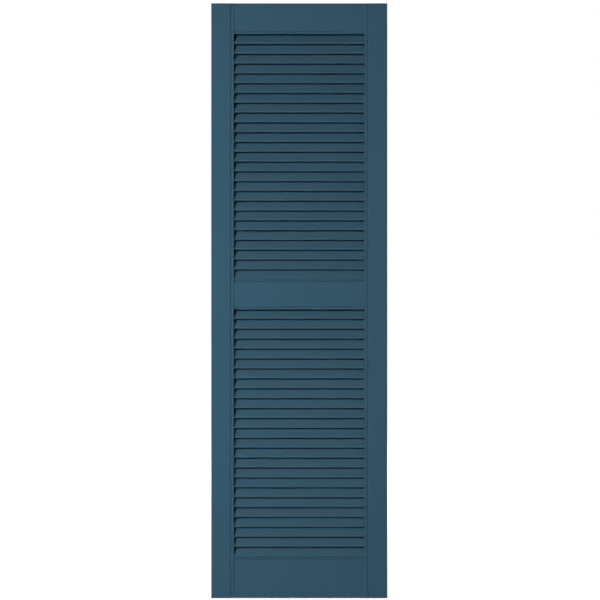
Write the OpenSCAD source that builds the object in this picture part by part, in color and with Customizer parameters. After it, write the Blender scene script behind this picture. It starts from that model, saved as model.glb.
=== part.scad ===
// Fixed louvred window shutter: two stiles, three rails and two fields of louvres.
//
// X runs across the shutter, Z runs up it, and the front faces -Y. The origin is
// the middle of the wall face, so the wall plane is Y = 0. All sizes are in mm.

/* [Panel] */
// Width of the shutter over both stiles
panel_w = 383; // [300:1:600]
// Height of the shutter
panel_h = 1293.5; // [900:0.5:1800]
// Thickness of the shutter, from the wall face to the front of the stiles
panel_t = 25; // [20:0.5:40]

/* [Stiles and rails] */
// Width of each stile, its bead included
stile_w = 49.5; // [35:0.5:80]
// Height of the top rail
top_rail_h = 66.75; // [45:0.25:120]
// Height of the middle rail
middle_rail_h = 65.5; // [45:0.25:120]
// Height of the bottom rail
bottom_rail_h = 88.75; // [60:0.25:160]
// Rise of the middle rail above the place that would make both fields equal
middle_rail_rise = 2.5; // [-20:0.5:20]
// Step of the rails' flat faces behind the stiles' faces
rail_setback = 1; // [0.5:0.1:2]
// Radius of the stiles' long edges
stile_edge_r = 1.2; // [0.5:0.1:2]
// Height of the slope on a rail's upper edge, behind the nose of the lowest louvre
sill_slope_h = 6; // [2:0.5:10]

/* [Beads and grooves] */
// Width of the bead along the inner edge of each stile
stile_bead_w = 4.7; // [3:0.1:8]
// Width of the V-groove beside the stile's bead
stile_groove_w = 3.5; // [2:0.1:6]
// Depth of the V-groove in the stile
stile_groove_depth = 1.4; // [0.5:0.1:1.6]
// Width of the bead along each rail edge that faces louvres
rail_bead_w = 3.5; // [2.5:0.1:6]
// Width of the V-groove beside a rail's bead
rail_groove_w = 3; // [2:0.1:5]
// Depth of the V-groove in the rail's flat face
rail_groove_depth = 1.1; // [0.4:0.1:1.6]
// Radius of the rail bead's front corners
rail_bead_r = 0.8; // [0.4:0.1:1]

/* [Louvres] */
// Louvres in each of the two fields
louvre_count = 25; // [15:1:25]
// Thickness of a louvre, which is also the roundness of its two long edges
louvre_t = 4; // [3:0.1:5]
// Step of the louvre noses behind the stiles' faces
louvre_setback = 1.5; // [1.5:0.1:3]
// Distance of the louvres' back edges from the wall plane
louvre_back_gap = 1.5; // [1:0.1:4]
// Height by which a louvre rises behind the nose of the one above
louvre_overlap = 3; // [1:0.1:5]
// Height by which the middle rail hangs below the even spacing of the lower louvres
middle_rail_lap = 0.75; // [0:0.25:2]
// Gap between the lowest louvre in each field and the rail below it
louvre_sill_gap = 0.3; // [0.2:0.1:2]
// Length of each louvre end held inside a stile
louvre_seat = 4.5; // [3:0.5:6]

/* [Dowels] */
// Diameter of the dowels that join rails and stiles
dowel_d = 10; // [6:0.5:12]
// Length of a dowel, half in the rail and half in the stile
dowel_l = 60; // [40:1:64]
// Distance from a rail's upper and lower edge to the nearest dowel's middle
dowel_inset = 18; // [14:0.5:22]

/* [Fits] */
// Clearance all round a louvre in its slot
slot_clearance = 0.25; // [0.1:0.05:0.5]
// Clearance past the end of a louvre in its slot
slot_end_clearance = 0.5; // [0.2:0.1:1]
// Clearance around the top louvre's back edge in the rail's rebate
rebate_clearance = 0.5; // [0.3:0.1:1]
// Radial clearance of a dowel in its bore
dowel_clearance = 0.05; // [0.05:0.05:0.2]
// Clearance past each end of a dowel
dowel_end_clearance = 1; // [0.5:0.5:3]

/* [Hidden] */
$fn = 48;

// Small excess that lets a cut pass cleanly through a face
cut = 1;

// Clear width between the stiles, and the heights of the levels from the bottom up
opening_w = panel_w - 2 * stile_w;
panel_bottom = -panel_h / 2;
panel_top = panel_h / 2;
fields_h = panel_h - top_rail_h - middle_rail_h - bottom_rail_h;
lower_field_h = fields_h / 2 + middle_rail_rise;
upper_field_h = fields_h / 2 - middle_rail_rise;
lower_field_z = panel_bottom + bottom_rail_h;
middle_rail_z = lower_field_z + lower_field_h;
upper_field_z = middle_rail_z + middle_rail_h;
top_rail_z = upper_field_z + upper_field_h;

// Louvre spacing: the lowest nose sits on its sill gap, the top one a pitch below the
// top rail, or a pitch less the lap below the middle rail
lower_pitch = (lower_field_h + middle_rail_lap - louvre_sill_gap) / louvre_count;
upper_pitch = (upper_field_h - louvre_sill_gap) / louvre_count;

// Louvre section, between the centres of its two round edges. All louvres are the
// same, so the wider spacing sets their height and their lean follows from it.
louvre_r = louvre_t / 2;
louvre_h = max(lower_pitch, upper_pitch) + louvre_overlap;
louvre_rise = louvre_h - louvre_t;
louvre_run = panel_t - louvre_setback - louvre_back_gap - louvre_t;
louvre_lean = atan2(louvre_rise, louvre_run);
louvre_chord = norm([louvre_rise, louvre_run]);
louvre_l = opening_w + 2 * louvre_seat;
slot_l = louvre_seat + slot_end_clearance;

// Rebate behind the lower edge of the top and middle rails, which takes the back
// edge of the top louvre: how far that edge rises past the rail, and how deep it is there
tuck = louvre_h - min(lower_pitch - middle_rail_lap, upper_pitch);
tuck_depth = louvre_back_gap + louvre_r + louvre_r * sin(louvre_lean)
    + (tuck - louvre_r + louvre_r * cos(louvre_lean)) / tan(louvre_lean);
rebate_h = tuck + rebate_clearance;
rebate_depth = tuck_depth + rebate_clearance;

// Slope on a rail's upper edge, which lies under the lowest louvre's underside with the
// sill gap between: the depth at which it starts, and the depth at its top
sill_reach = louvre_r + louvre_sill_gap;
sill_start = louvre_setback + louvre_r + sill_reach * sin(louvre_lean)
    - (sill_reach - sill_reach * cos(louvre_lean)) / tan(louvre_lean);
sill_top = sill_start + sill_slope_h / tan(louvre_lean);

dowel_bore_d = dowel_d + 2 * dowel_clearance;
dowel_bore_l = dowel_l + 2 * dowel_end_clearance;

UPPER_LOUVRES = [for (i = [1 : louvre_count]) str("upper_louvre_", i < 10 ? "0" : "", i)];
LOWER_LOUVRES = [for (i = [1 : louvre_count]) str("lower_louvre_", i < 10 ? "0" : "", i)];

// Height of the nose centre of a louvre, counted from 1 at the top of its field
function nose_z(field_z, pitch, i) =
    field_z + louvre_sill_gap + louvre_r + (louvre_count - i) * pitch;

// Heights of the two dowel rows of a rail
function dowel_rows(rail_z, rail_h) =
    [rail_z + dowel_inset, rail_z + rail_h - dowel_inset];

// Places a drawing of depth against height so that it runs along X, centred on X = 0
module along_x(length) {
    rotate([90, 0, 90])
        linear_extrude(height = length, center = true)
            children();
}

// Section of a louvre: a flat bar with round edges that climbs from its nose to the wall
module louvre_section(margin = 0) {
    r = louvre_r + margin;
    rotate(louvre_lean) {
        translate([0, -r])
            square([louvre_chord, 2 * r]);
        for (end = [0, louvre_chord])
            translate([end, 0])
                circle(r);
    }
}

// Puts its children at the nose centre of a louvre, in the drawing of depth against height
module at_nose(z) {
    translate([louvre_setback + louvre_r - panel_t, z])
        children();
}

module louvre(z) {
    along_x(louvre_l)
        at_nose(z)
            louvre_section();
}

// The two slots, left and right, that hold a louvre's ends
module louvre_slots(z) {
    for (side = [-1, 1])
        translate([side * (opening_w / 2 + slot_l / 2), 0, 0])
            along_x(slot_l)
                at_nose(z)
                    louvre_section(slot_clearance);
}

// One field's slots
module field_slots(field_z, pitch) {
    for (i = [1 : louvre_count])
        louvre_slots(nose_z(field_z, pitch, i));
}

// Cylinders across both joints of a rail, in two rows
module dowel_set(rail_z, rail_h, d, l) {
    for (side = [-1, 1], z = dowel_rows(rail_z, rail_h))
        translate([side * opening_w / 2, -panel_t / 2, z])
            rotate([0, 90, 0])
                cylinder(d = d, h = l, center = true);
}

module dowels(rail_z, rail_h) {
    color("burlywood")
        dowel_set(rail_z, rail_h, dowel_d, dowel_l);
}

module dowel_bores(rail_z, rail_h) {
    dowel_set(rail_z, rail_h, dowel_bore_d, dowel_bore_l);
}

// Section of a stile, from its outer edge at 0 to its inner edge at stile_w:
// a round-edged bar with a V-groove beside the bead
module stile_section() {
    bead_edge = stile_w - stile_bead_w;
    difference() {
        union() {
            translate([0, stile_edge_r - panel_t])
                square([stile_w, panel_t - 2 * stile_edge_r]);
            translate([stile_edge_r, -panel_t])
                square([stile_w - 2 * stile_edge_r, panel_t]);
            for (x = [stile_edge_r, stile_w - stile_edge_r],
                 y = [-stile_edge_r, stile_edge_r - panel_t])
                translate([x, y])
                    circle(stile_edge_r);
        }
        polygon([
            [bead_edge, -panel_t],
            [bead_edge - stile_groove_w / 2, stile_groove_depth - panel_t],
            [bead_edge - stile_groove_w, -panel_t],
            [bead_edge - stile_groove_w, -panel_t - cut],
            [bead_edge, -panel_t - cut]
        ]);
    }
}

// A stile, placed on the left and mirrored to the right
module stile(side) {
    color("steelblue")
        difference() {
            mirror([side > 0 ? 1 : 0, 0, 0])
                translate([-panel_w / 2, 0, panel_bottom])
                    linear_extrude(height = panel_h)
                        stile_section();
            field_slots(upper_field_z, upper_pitch);
            field_slots(lower_field_z, lower_pitch);
            dowel_bores(top_rail_z, top_rail_h);
            dowel_bores(middle_rail_z, middle_rail_h);
            dowel_bores(panel_bottom, bottom_rail_h);
        }
}

// Raised bead along a rail edge, with its edge at 0 and the rail above it
module rail_bead() {
    translate([rail_bead_r - panel_t, 0])
        square([panel_t / 2, rail_bead_w]);
    translate([-panel_t, rail_bead_r])
        square([panel_t / 2, rail_bead_w - 2 * rail_bead_r]);
    for (z = [rail_bead_r, rail_bead_w - rail_bead_r])
        translate([rail_bead_r - panel_t, z])
            circle(rail_bead_r);
}

// V-groove in a rail's flat face, beside a bead whose edge is at 0
module rail_groove() {
    face = rail_setback - panel_t;
    polygon([
        [face, rail_bead_w],
        [face + rail_groove_depth, rail_bead_w + rail_groove_w / 2],
        [face, rail_bead_w + rail_groove_w],
        [face - cut, rail_bead_w + rail_groove_w],
        [face - cut, rail_bead_w]
    ]);
}

// Plain section of a rail, from its lower edge at 0. Below louvres its upper edge
// slopes up behind the bead, which closes the gap under the lowest louvre.
module rail_body(rail_h, above) {
    face = rail_setback - panel_t;
    upper_edge = above
        ? [[0, rail_h + sill_slope_h],
           [sill_top - panel_t, rail_h + sill_slope_h],
           [sill_start - panel_t, rail_h]]
        : [[0, rail_h]];
    polygon(concat([[face, 0], [0, 0]], upper_edge, [[face, rail_h]]));
}

// Puts its children at a rail's lower edge, and again upside down at its upper edge
module at_louvre_edges(rail_h, below, above) {
    if (below)
        children();
    if (above)
        translate([0, rail_h])
            mirror([0, 1])
                children();
}

// Section of a rail, with louvres below it, above it or both. The edge above
// louvres is rebated at the back for the top louvre.
module rail_section(rail_h, below, above) {
    difference() {
        union() {
            difference() {
                rail_body(rail_h, above);
                at_louvre_edges(rail_h, below, above)
                    rail_groove();
            }
            at_louvre_edges(rail_h, below, above)
                rail_bead();
        }
        if (below)
            translate([-rebate_depth, -cut])
                square([rebate_depth + cut, rebate_h + cut]);
    }
}

module rail(rail_z, rail_h, below, above) {
    color("steelblue")
        difference() {
            translate([0, 0, rail_z])
                along_x(opening_w)
                    rail_section(rail_h, below, above);
            dowel_bores(rail_z, rail_h);
        }
}

module upper_louvre(i) {
    color("steelblue")
        louvre(nose_z(upper_field_z, upper_pitch, i));
}

module lower_louvre(i) {
    color("steelblue")
        louvre(nose_z(lower_field_z, lower_pitch, i));
}

stile(-1);  // stile_left
stile(1);  // stile_right
rail(top_rail_z, top_rail_h, true, false);  // top_rail
rail(middle_rail_z, middle_rail_h, true, true);  // middle_rail
rail(panel_bottom, bottom_rail_h, false, true);  // bottom_rail
dowels(top_rail_z, top_rail_h);  // top_rail_dowels
dowels(middle_rail_z, middle_rail_h);  // middle_rail_dowels
dowels(panel_bottom, bottom_rail_h);  // bottom_rail_dowels
for (i = [1 : louvre_count]) {
    upper_louvre(i);
    lower_louvre(i);
}
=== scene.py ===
"""Looks of a fixed louvred shutter in satin blue: coated boards, coated louvres and hidden beech dowels."""

import math

import bpy
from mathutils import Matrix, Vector


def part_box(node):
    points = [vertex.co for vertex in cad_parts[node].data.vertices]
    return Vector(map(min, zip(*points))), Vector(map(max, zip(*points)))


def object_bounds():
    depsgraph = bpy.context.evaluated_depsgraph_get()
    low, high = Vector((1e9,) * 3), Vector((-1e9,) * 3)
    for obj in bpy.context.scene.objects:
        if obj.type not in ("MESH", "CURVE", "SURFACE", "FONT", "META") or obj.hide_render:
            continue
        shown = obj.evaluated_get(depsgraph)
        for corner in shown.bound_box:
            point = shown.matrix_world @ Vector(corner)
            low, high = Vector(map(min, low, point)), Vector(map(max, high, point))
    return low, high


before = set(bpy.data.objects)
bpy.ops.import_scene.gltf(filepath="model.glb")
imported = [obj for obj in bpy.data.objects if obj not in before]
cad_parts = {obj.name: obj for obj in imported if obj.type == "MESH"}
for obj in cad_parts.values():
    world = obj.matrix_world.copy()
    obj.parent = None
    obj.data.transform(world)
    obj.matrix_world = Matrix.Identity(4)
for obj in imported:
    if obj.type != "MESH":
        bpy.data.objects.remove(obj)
cad_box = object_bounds()

MM = 0.001

# ---------------------------------------------------------------- what the frame gives

RAILS = ("top_rail", "middle_rail", "bottom_rail")
STILES = ("stile_left", "stile_right")
DOWELS = tuple(f"{rail}_dowels" for rail in RAILS)
LOUVRES = tuple(sorted(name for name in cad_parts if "_louvre_" in name))

low, high = cad_box
centre = (low + high) / 2
front = low.y
opening_half_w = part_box("top_rail")[1].x
louvre_nose_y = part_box("upper_louvre_01")[0].y

# ---------------------------------------------------------------- shader arithmetic


class Value:
    """A number that varies over a surface, with arithmetic that adds Math nodes."""

    def __init__(self, finish, socket):
        self.finish = finish
        self.socket = socket

    def _math(self, operation, *operands, clamp=False):
        node = self.finish.node(
            "ShaderNodeMath",
            {"operation": operation, "use_clamp": clamp},
            dict(enumerate(operands)),
        )
        return Value(self.finish, node.outputs[0])

    def __add__(self, other):
        return self._math("ADD", self, other)

    def __radd__(self, other):
        return self._math("ADD", other, self)

    def __sub__(self, other):
        return self._math("SUBTRACT", self, other)

    def __rsub__(self, other):
        return self._math("SUBTRACT", other, self)

    def __mul__(self, other):
        return self._math("MULTIPLY", self, other)

    def __rmul__(self, other):
        return self._math("MULTIPLY", other, self)

    def __truediv__(self, other):
        return self._math("DIVIDE", self, other)

    def __abs__(self):
        return self._math("ABSOLUTE", self)

    def clamped(self):
        """The value, held between nothing and one."""
        return self._math("ADD", self, 0.0, clamp=True)


class Finish:
    """A material under construction, whose every node comes from one method."""

    def __init__(self, name):
        self.material = bpy.data.materials.new(name)
        self.material.use_nodes = True
        self.tree = self.material.node_tree
        self.tree.nodes.clear()

    @classmethod
    def of(cls, tree):
        """The same tools for a node tree that isn't a material's, such as the air's."""
        finish = cls.__new__(cls)
        finish.material = None
        finish.tree = tree
        tree.nodes.clear()
        return finish

    def node(self, kind, settings=None, inputs=None):
        """A new node: its settings first, then the values or links of its sockets."""
        made = self.tree.nodes.new(kind)
        for setting, choice in (settings or {}).items():
            if setting == "stops":
                self._set_stops(made.color_ramp, choice)
            else:
                setattr(made, setting, choice)
        for socket, given in (inputs or {}).items():
            self._feed(made.inputs[socket], given)
        return made

    def _set_stops(self, ramp, stops):
        while len(ramp.elements) < len(stops):
            ramp.elements.new(1.0)
        for element, (position, shade) in zip(ramp.elements, stops):
            element.position = position
            element.color = (shade, shade, shade, 1.0)

    def _feed(self, socket, given):
        if isinstance(given, Value):
            given = given.socket
        if isinstance(given, bpy.types.NodeSocket):
            self.tree.links.new(given, socket)
        else:
            socket.default_value = given

    def place(self):
        """Position in the shutter's own frame, in metres."""
        return self.node("ShaderNodeTexCoord").outputs["Object"]

    def axes(self, vector):
        """The X, Y and Z of a position or a direction."""
        split = self.node("ShaderNodeSeparateXYZ", inputs={"Vector": vector})
        return [Value(self, split.outputs[axis]) for axis in "XYZ"]

    def faces_front(self):
        """How far the surface faces the front, from nothing to one."""
        way = self.node("ShaderNodeNewGeometry").outputs["Normal"]
        return (0.0 - self.axes(way)[1]).clamped()

    def stretched(self, place, scale):
        """A position with each axis multiplied by its own scale, for marks longer one way."""
        mapping = self.node("ShaderNodeMapping", inputs={"Vector": place, "Scale": scale})
        return mapping.outputs[0]

    def noise(self, place, scale, detail=3.0, roughness=0.5, distortion=0.0):
        """Soft random blotches, from nothing to one, finer as the scale grows."""
        made = self.node(
            "ShaderNodeTexNoise",
            inputs={
                "Vector": place,
                "Scale": scale,
                "Detail": detail,
                "Roughness": roughness,
                "Distortion": distortion,
            },
        )
        return Value(self, made.outputs["Fac"])

    def ramp(self, value, stops):
        """A value read off a scale of stops, each a position and what it gives."""
        made = self.node("ShaderNodeValToRGB", {"stops": stops}, {"Fac": value})
        return Value(self, made.outputs["Color"])

    def blend(self, amount, first, second):
        """A colour that goes from the first to the second as the amount goes to one."""
        made = self.node("ShaderNodeMix", {"data_type": "RGBA"}, {"Factor": amount})
        colours = [socket for socket in made.inputs if socket.type == "RGBA"]
        self._feed(colours[0], first)
        self._feed(colours[1], second)
        return next(socket for socket in made.outputs if socket.type == "RGBA")

    def raised(self, height, distance, below=None):
        """The surface's slope with a height laid on it, over the slope below if one is given."""
        inputs = {"Height": height, "Distance": distance, "Strength": 1.0}
        if below is not None:
            inputs["Normal"] = below
        return self.node("ShaderNodeBump", inputs=inputs).outputs["Normal"]

    def close(self, **inputs):
        """Ends the finish with its shader, and gives the material."""
        surface = self.node(
            "ShaderNodeBsdfPrincipled",
            inputs={name.replace("_", " "): given for name, given in inputs.items()},
        )
        self.node("ShaderNodeOutputMaterial", inputs={"Surface": surface.outputs[0]})
        return self.material


# ---------------------------------------------------------------- the blue coat

FRAME_BLUE = (0.0394, 0.0992, 0.1505, 1.0)
# Same paint as the frame; this copy is greyer as a painted reflection of the pale light the louvre faces
# catch
LOUVRE_BLUE_WITH_SHEEN = (0.0420, 0.0992, 0.1440, 1.0)
DEEP_BLUE = (0.0320, 0.0840, 0.1300, 1.0)
# Paler blue for wear on the beads and noses, and for the painted highlight on the louvre noses
WORN_AND_HIGHLIT_BLUE = (0.0640, 0.1400, 0.1950, 1.0)
# Dark blue for the painted shade, and for the dark rims and louvre ends
SHADE_AND_DARK_MARKS_BLUE = (0.0120, 0.0240, 0.0360, 1.0)
DUST = (0.30, 0.31, 0.31, 1.0)

# Marks to the metre, and how many times finer than the grain the pores are
GRAIN_ACROSS = 420.0
GRAIN_ALONG = 9.0
PORES_TO_GRAIN = 2.3
PEEL = 1150.0
SPECKS = 640.0
PATCHES = 38.0
MOTTLE = 5.5

PORE_STOPS = ((0.0, 0.0), (0.35, 0.0), (0.42, 1.0))
SPECK_STOPS = ((0.0, 0.0), (0.74, 0.0), (0.79, 1.0))
MOTTLE_GAIN, MOTTLE_CUT = 1.6, 0.3

# How strongly each mark tints the coat
MOTTLE_TINT = 0.42
PORE_TINT = 0.34
GRAIN_TINT = 0.30
SPECK_TINT = 0.05

# Paler coat, from wear and from the painted highlight on the louvre noses, shows evenly, and more where the
# grain stands up
PALER_EVENLY = 0.35
PALER_ON_GRAIN = 0.65

# The coat's roughness, and how far each mark changes it
SATIN = 0.40
PATCH_ROUGHNESS = 0.10
GRAIN_ROUGHNESS = 0.08
SPECK_ROUGHNESS = 0.05

PEEL_HEIGHT = 0.014 * MM
GRAIN_HEIGHT = 0.11 * MM
PORE_SHARE = 0.5


def satin_coat(name, blue, grain_along, wear_and_shade_of):
    """Satin blue coat over foamed vinyl board, with a faint grain along one axis, wear, and painted shade
    and highlight.
    """
    f = Finish(name)
    place = f.place()
    x, y, z = f.axes(place)

    stretch = [GRAIN_ALONG if axis == grain_along else GRAIN_ACROSS for axis in "XYZ"]
    grain_place = f.stretched(place, stretch)
    grain = f.noise(grain_place, 1.0, detail=4.0, roughness=0.60, distortion=0.6)
    # Nothing in a pore, one between pores
    pores = f.ramp(f.noise(grain_place, PORES_TO_GRAIN, detail=2.0), PORE_STOPS)
    peel = f.noise(place, PEEL, detail=2.0)
    mottle = f.noise(place, MOTTLE, detail=4.0, roughness=0.55)
    patches = f.noise(place, PATCHES, detail=3.0)
    specks = f.ramp(f.noise(place, SPECKS, detail=1.0), SPECK_STOPS)

    clouds = (mottle * MOTTLE_GAIN - MOTTLE_CUT).clamped()
    colour = f.blend(clouds * MOTTLE_TINT, blue, DEEP_BLUE)
    lines = ((1.0 - pores) * PORE_TINT + (grain - 0.5) * GRAIN_TINT).clamped()
    colour = f.blend(lines, colour, DEEP_BLUE)
    paler, shade_and_dark_marks = wear_and_shade_of(f, x, y, z)
    colour = f.blend(paler * (PALER_EVENLY + PALER_ON_GRAIN * grain), colour, WORN_AND_HIGHLIT_BLUE)
    # Painted shade under the louvre noses and in the left joints, with the dark rims and louvre ends
    colour = f.blend(shade_and_dark_marks, colour, SHADE_AND_DARK_MARKS_BLUE)
    colour = f.blend(specks * SPECK_TINT, colour, DUST)

    roughness = SATIN + PATCH_ROUGHNESS * (patches - 0.5) + GRAIN_ROUGHNESS * (grain - 0.5)
    roughness = roughness + SPECK_ROUGHNESS * specks
    skin = f.raised(peel, PEEL_HEIGHT)
    skin = f.raised(grain + PORE_SHARE * pores, GRAIN_HEIGHT, below=skin)
    return f.close(Base_Color=colour, Roughness=roughness, Normal=skin)


# ---------------------------------------------------------------- wear of the coat, painted shade and painted highlight

# How far each kind of wear, dark mark and painted shade reaches
STILE_BEAD_HALF_W = 2.0 * MM
STILE_BEAD_RUB_DEPTH = 1.0 * MM
RAIL_BEAD_RUB_DEPTH = 0.6 * MM
NOSE_PALER_DEPTH = 1.6 * MM
OUTER_RIM_W = 1.8 * MM
STILE_LEFT_SHADE_W = 0.8 * MM
RAIL_LEFT_SHADE_W = 1.0 * MM
LOUVRE_END_DARK_W = 1.5 * MM
# Painted shade under the louvre noses starts this far behind a nose, and fades in over the next distance
UNDER_NOSE_SHADE_FROM = 13.8 * MM
UNDER_NOSE_SHADE_FADE = 1.6 * MM

# How strongly it shows
STILE_RUB = 0.12
RAIL_RUB = 0.15
NOSE_WEAR_AND_HIGHLIGHT = 0.42
OUTER_RIM_DARK = 0.62
STILE_LEFT_SHADE = 0.50
RAIL_LEFT_SHADE = 0.75
LOUVRE_END_DARK = 0.12
UNDER_NOSE_SHADE = 0.7


def near(value, line, reach):
    """One on a line, falling to nothing at a reach to either side of it."""
    return 1.0 - (abs(value - line) / reach).clamped()


def stile_wear_and_shade(f, x, y, z):
    """Paler coat on the beads, a dark rim along the outer edges, and painted shade along the left stile's
    inner edge.
    """
    bead = near(abs(x), opening_half_w + STILE_BEAD_HALF_W, STILE_BEAD_HALF_W)
    paler = bead * near(y, front, STILE_BEAD_RUB_DEPTH)
    # Darker along the outer edges: a painted dark rim.
    outer = near(abs(x), high.x, OUTER_RIM_W) + near(abs(z), high.z, OUTER_RIM_W)
    # Painted shade on the left side only, where the step turns away from the light.
    joints = near(x, -opening_half_w, STILE_LEFT_SHADE_W)
    return paler * STILE_RUB, (outer * OUTER_RIM_DARK + joints * STILE_LEFT_SHADE).clamped()


def rail_wear_and_shade(f, x, y, z):
    """Paler coat on the rails' beads, painted shade in the left joints, and a dark rim along the outer
    edges.
    """
    paler = near(y, front, RAIL_BEAD_RUB_DEPTH)
    # Painted shade on the left side only, where the step turns away from the light.
    joints = near(x, -opening_half_w, RAIL_LEFT_SHADE_W)
    # Darker along the outer edges: a painted dark rim.
    outer = near(abs(z), high.z, OUTER_RIM_W)
    return paler * RAIL_RUB, (joints * RAIL_LEFT_SHADE + outer * OUTER_RIM_DARK).clamped()


def louvre_wear_and_shade(f, x, y, z):
    """Paler louvre noses, partly wear and partly painted highlight; darker louvre ends; painted shade on
    the faces under the noses above.
    """
    # Paler noses: partly wear, partly a painted highlight where light catches them.
    paler = near(y, louvre_nose_y, NOSE_PALER_DEPTH)
    # Darker at the louvres' ends, next to the stiles.
    ends = near(abs(x), opening_half_w, LOUVRE_END_DARK_W)
    # Painted shade: the louvre faces are darkened under the noses above, where the shade falls.
    under_nose_shade = ((y - louvre_nose_y - UNDER_NOSE_SHADE_FROM) / UNDER_NOSE_SHADE_FADE).clamped() * f.faces_front()
    return paler * NOSE_WEAR_AND_HIGHLIGHT, (ends * LOUVRE_END_DARK + under_nose_shade * UNDER_NOSE_SHADE).clamped()


# ---------------------------------------------------------------- beech and floor

BEECH_PALE = (0.62, 0.43, 0.25, 1.0)
BEECH_DARK = (0.45, 0.28, 0.14, 1.0)
BEECH_FLECK = (0.30, 0.17, 0.08, 1.0)
FIBRE_SCALES = (9.0, 420.0, 420.0)
FLECK_SCALES = (60.0, 900.0, 900.0)
FLECK_STOPS = ((0.0, 0.0), (0.60, 0.0), (0.68, 1.0))
FLECK_TINT = 0.5
BARE_WOOD = 0.62
FIBRE_ROUGHNESS = 0.1
FIBRE_HEIGHT = 0.05 * MM

FLOOR_HALF = 20.0
FLOOR_FADE = 2.6
FLOOR_CLOUDS = 1.3
FLOOR_TINT = 0.5
FLOOR_ROUGHNESS = 0.85
FLOOR_PALE = (0.90, 0.90, 0.90, 1.0)
FLOOR_DULL = (0.86, 0.86, 0.86, 1.0)
NEAR_GLOW = (0.50, 0.50, 0.50, 1.0)
WHITE = (1.0, 1.0, 1.0, 1.0)


def beech(name):
    """Bare beech with its fibre along the dowel, and short dark flecks."""
    f = Finish(name)
    place = f.place()
    fibre = f.noise(f.stretched(place, FIBRE_SCALES), 1.0, detail=4.0, roughness=0.6)
    flecks = f.ramp(f.noise(f.stretched(place, FLECK_SCALES), 1.0, detail=1.0), FLECK_STOPS)
    colour = f.blend(flecks * FLECK_TINT, f.blend(fibre, BEECH_PALE, BEECH_DARK), BEECH_FLECK)
    roughness = BARE_WOOD + FIBRE_ROUGHNESS * fibre
    return f.close(Base_Color=colour, Roughness=roughness, Normal=f.raised(fibre, FIBRE_HEIGHT))


def pale_floor(name):
    """A pale matt floor that glows a little, more so far from the lamps, to stay white."""
    f = Finish(name)
    place = f.place()
    clouds = f.noise(place, FLOOR_CLOUDS, detail=4.0)
    colour = f.blend(clouds * FLOOR_TINT, FLOOR_PALE, FLOOR_DULL)
    x, y, _ = f.axes(place)
    far = ((x * x + y * y) / FLOOR_FADE ** 2).clamped()
    glow = f.blend(far, NEAR_GLOW, WHITE)
    return f.close(
        Base_Color=colour,
        Roughness=FLOOR_ROUGHNESS,
        Emission_Color=glow,
        Emission_Strength=1.0,
    )


# ---------------------------------------------------------------- pieces

EASED_W = 0.5 * MM
EASED_ANGLE = math.radians(40)
WELD_REACH = 0.001 * MM


def wear_finish(piece, finish):
    """Gives every slot of a node the finish."""
    for slot in piece.material_slots:
        slot.material = finish


def ease_edges(piece):
    """Rounds a board's sharp edges by a touch, as sanding before coating does."""
    weld = piece.modifiers.new("weld", "WELD")
    weld.merge_threshold = WELD_REACH
    bevel = piece.modifiers.new("eased_edges", "BEVEL")
    bevel.width = EASED_W
    bevel.segments = 2
    bevel.limit_method = "ANGLE"
    bevel.angle_limit = EASED_ANGLE
    normals = piece.modifiers.new("normals", "WEIGHTED_NORMAL")
    normals.keep_sharp = True


FINISHES = (
    (STILES, satin_coat("satin_coat_stiles", FRAME_BLUE, "Z", stile_wear_and_shade)),
    (RAILS, satin_coat("satin_coat_rails", FRAME_BLUE, "X", rail_wear_and_shade)),
    (LOUVRES, satin_coat("satin_coat_louvres", LOUVRE_BLUE_WITH_SHEEN, "X", louvre_wear_and_shade)),
    (DOWELS, beech("beech")),
)

for names, finish in FINISHES:
    for name in names:
        wear_finish(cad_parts[name], finish)
for name in STILES + RAILS:
    ease_edges(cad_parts[name])

# ---------------------------------------------------------------- studio

KEY_PLACE = (-1.60, -3.45, 0.70)
KEY_AIM = (-0.50, front, -0.20)
BACK_PLACE = (1.6, 3.0, 0.9)
SIDE_X, SIDE_Y, SIDE_Z = 2.8, 0.6, -0.3
TOP_PLACE = (0.0, centre.y, 3.2)
TOP_AIM = (0.0, centre.y, high.z)

LENS = 100.0
SENSOR = 36.0
SEEN_HEIGHT = 1.3048
CAMERA_RIGHT = 1.6 * MM
CAMERA_UP = 1.5 * MM


def lay_floor():
    """A level square under the shutter, which sends no light back onto it."""
    mesh = bpy.data.meshes.new("floor")
    signs = ((-1, -1), (1, -1), (1, 1), (-1, 1))
    corners = [(sx * FLOOR_HALF, sy * FLOOR_HALF, low.z) for sx, sy in signs]
    mesh.from_pydata(corners, [], [(0, 1, 2, 3)])
    floor = bpy.data.objects.new("floor", mesh)
    floor.data.materials.append(pale_floor("pale_floor"))
    floor.visible_diffuse = False
    floor.visible_glossy = False
    bpy.context.scene.collection.objects.link(floor)


def soft_box(name, place, towards, size, power, spread=180, matt=True, gloss=True):
    """An oblong lamp, which can be kept out of the matt light or out of the gloss."""
    lamp = bpy.data.lights.new(name, "AREA")
    lamp.shape = "RECTANGLE"
    lamp.size, lamp.size_y = size
    lamp.energy = power
    lamp.spread = math.radians(spread)
    holder = bpy.data.objects.new(name, lamp)
    holder.location = place
    holder.rotation_mode = "QUATERNION"
    holder.rotation_quaternion = (Vector(towards) - Vector(place)).to_track_quat("-Z", "Y")
    holder.visible_diffuse = matt
    holder.visible_glossy = gloss
    bpy.context.scene.collection.objects.link(holder)


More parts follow.
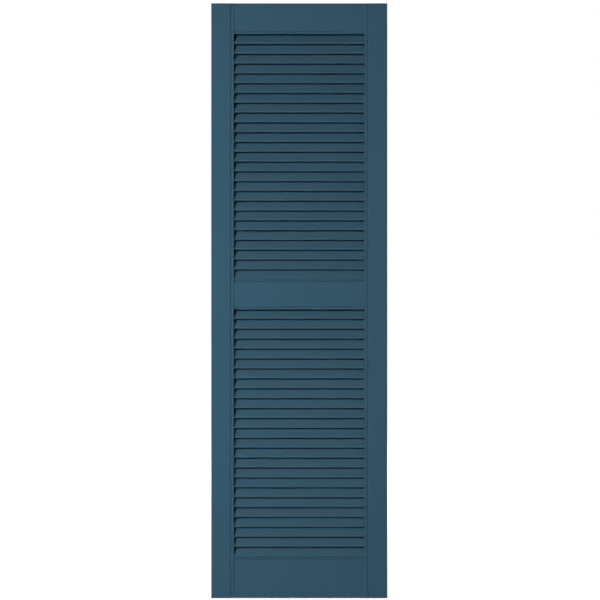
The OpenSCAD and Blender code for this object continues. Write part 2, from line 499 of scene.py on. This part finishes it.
def light_the_air(seen, all_round, overhead, behind):
    """White ground to look at, and a dim light on things, stronger from above and behind."""
    world = bpy.data.worlds.new("studio")
    bpy.context.scene.world = world
    world.use_nodes = True
    air = Finish.of(world.node_tree)
    direction = air.node("ShaderNodeTexCoord").outputs["Generated"]
    _, y, z = air.axes(direction)
    felt = all_round + overhead * (z * z * z).clamped() + behind * y.clamped()
    dim = air.node("ShaderNodeBackground", inputs={"Color": WHITE, "Strength": felt})
    white = air.node("ShaderNodeBackground", inputs={"Color": WHITE, "Strength": seen})
    to_camera = air.node("ShaderNodeLightPath").outputs["Is Camera Ray"]
    shaders = {0: to_camera, 1: dim.outputs[0], 2: white.outputs[0]}
    pick = air.node("ShaderNodeMixShader", inputs=shaders)
    air.node("ShaderNodeOutputWorld", inputs={"Surface": pick.outputs[0]})


def set_camera():
    """Level with the shutter's middle and square to its front, through a long lens."""
    distance = SEEN_HEIGHT / 2 / (SENSOR / 2 / LENS)
    camera_data = bpy.data.cameras.new("camera")
    camera_data.lens = LENS
    camera_data.sensor_width = SENSOR
    camera = bpy.data.objects.new("camera", camera_data)
    camera.location = (centre.x + CAMERA_RIGHT, front - distance, centre.z + CAMERA_UP)
    camera.rotation_euler = (math.radians(90), 0, 0)
    bpy.context.scene.collection.objects.link(camera)
    bpy.context.scene.camera = camera


lay_floor()
soft_box("key_light", KEY_PLACE, KEY_AIM, size=(1.1, 0.5), power=49.6, spread=100, gloss=False)
soft_box("sheen_light", KEY_PLACE, KEY_AIM, size=(1.6, 1.6), power=3.0, matt=False)
soft_box("back_light", BACK_PLACE, centre, size=(2.0, 2.0), power=60.0)
for name, side in (("right_light", 1), ("left_light", -1)):
    side_place = (side * SIDE_X, SIDE_Y, SIDE_Z)
    soft_box(name, side_place, centre, size=(1.2, 0.7), power=50.0, gloss=False)
soft_box("top_light", TOP_PLACE, TOP_AIM, size=(1.0, 0.02), power=24.0, gloss=False)
light_the_air(seen=1.0, all_round=0.02, overhead=0.07, behind=0.08)
set_camera()
bpy.context.scene.view_settings.view_transform = "Standard"
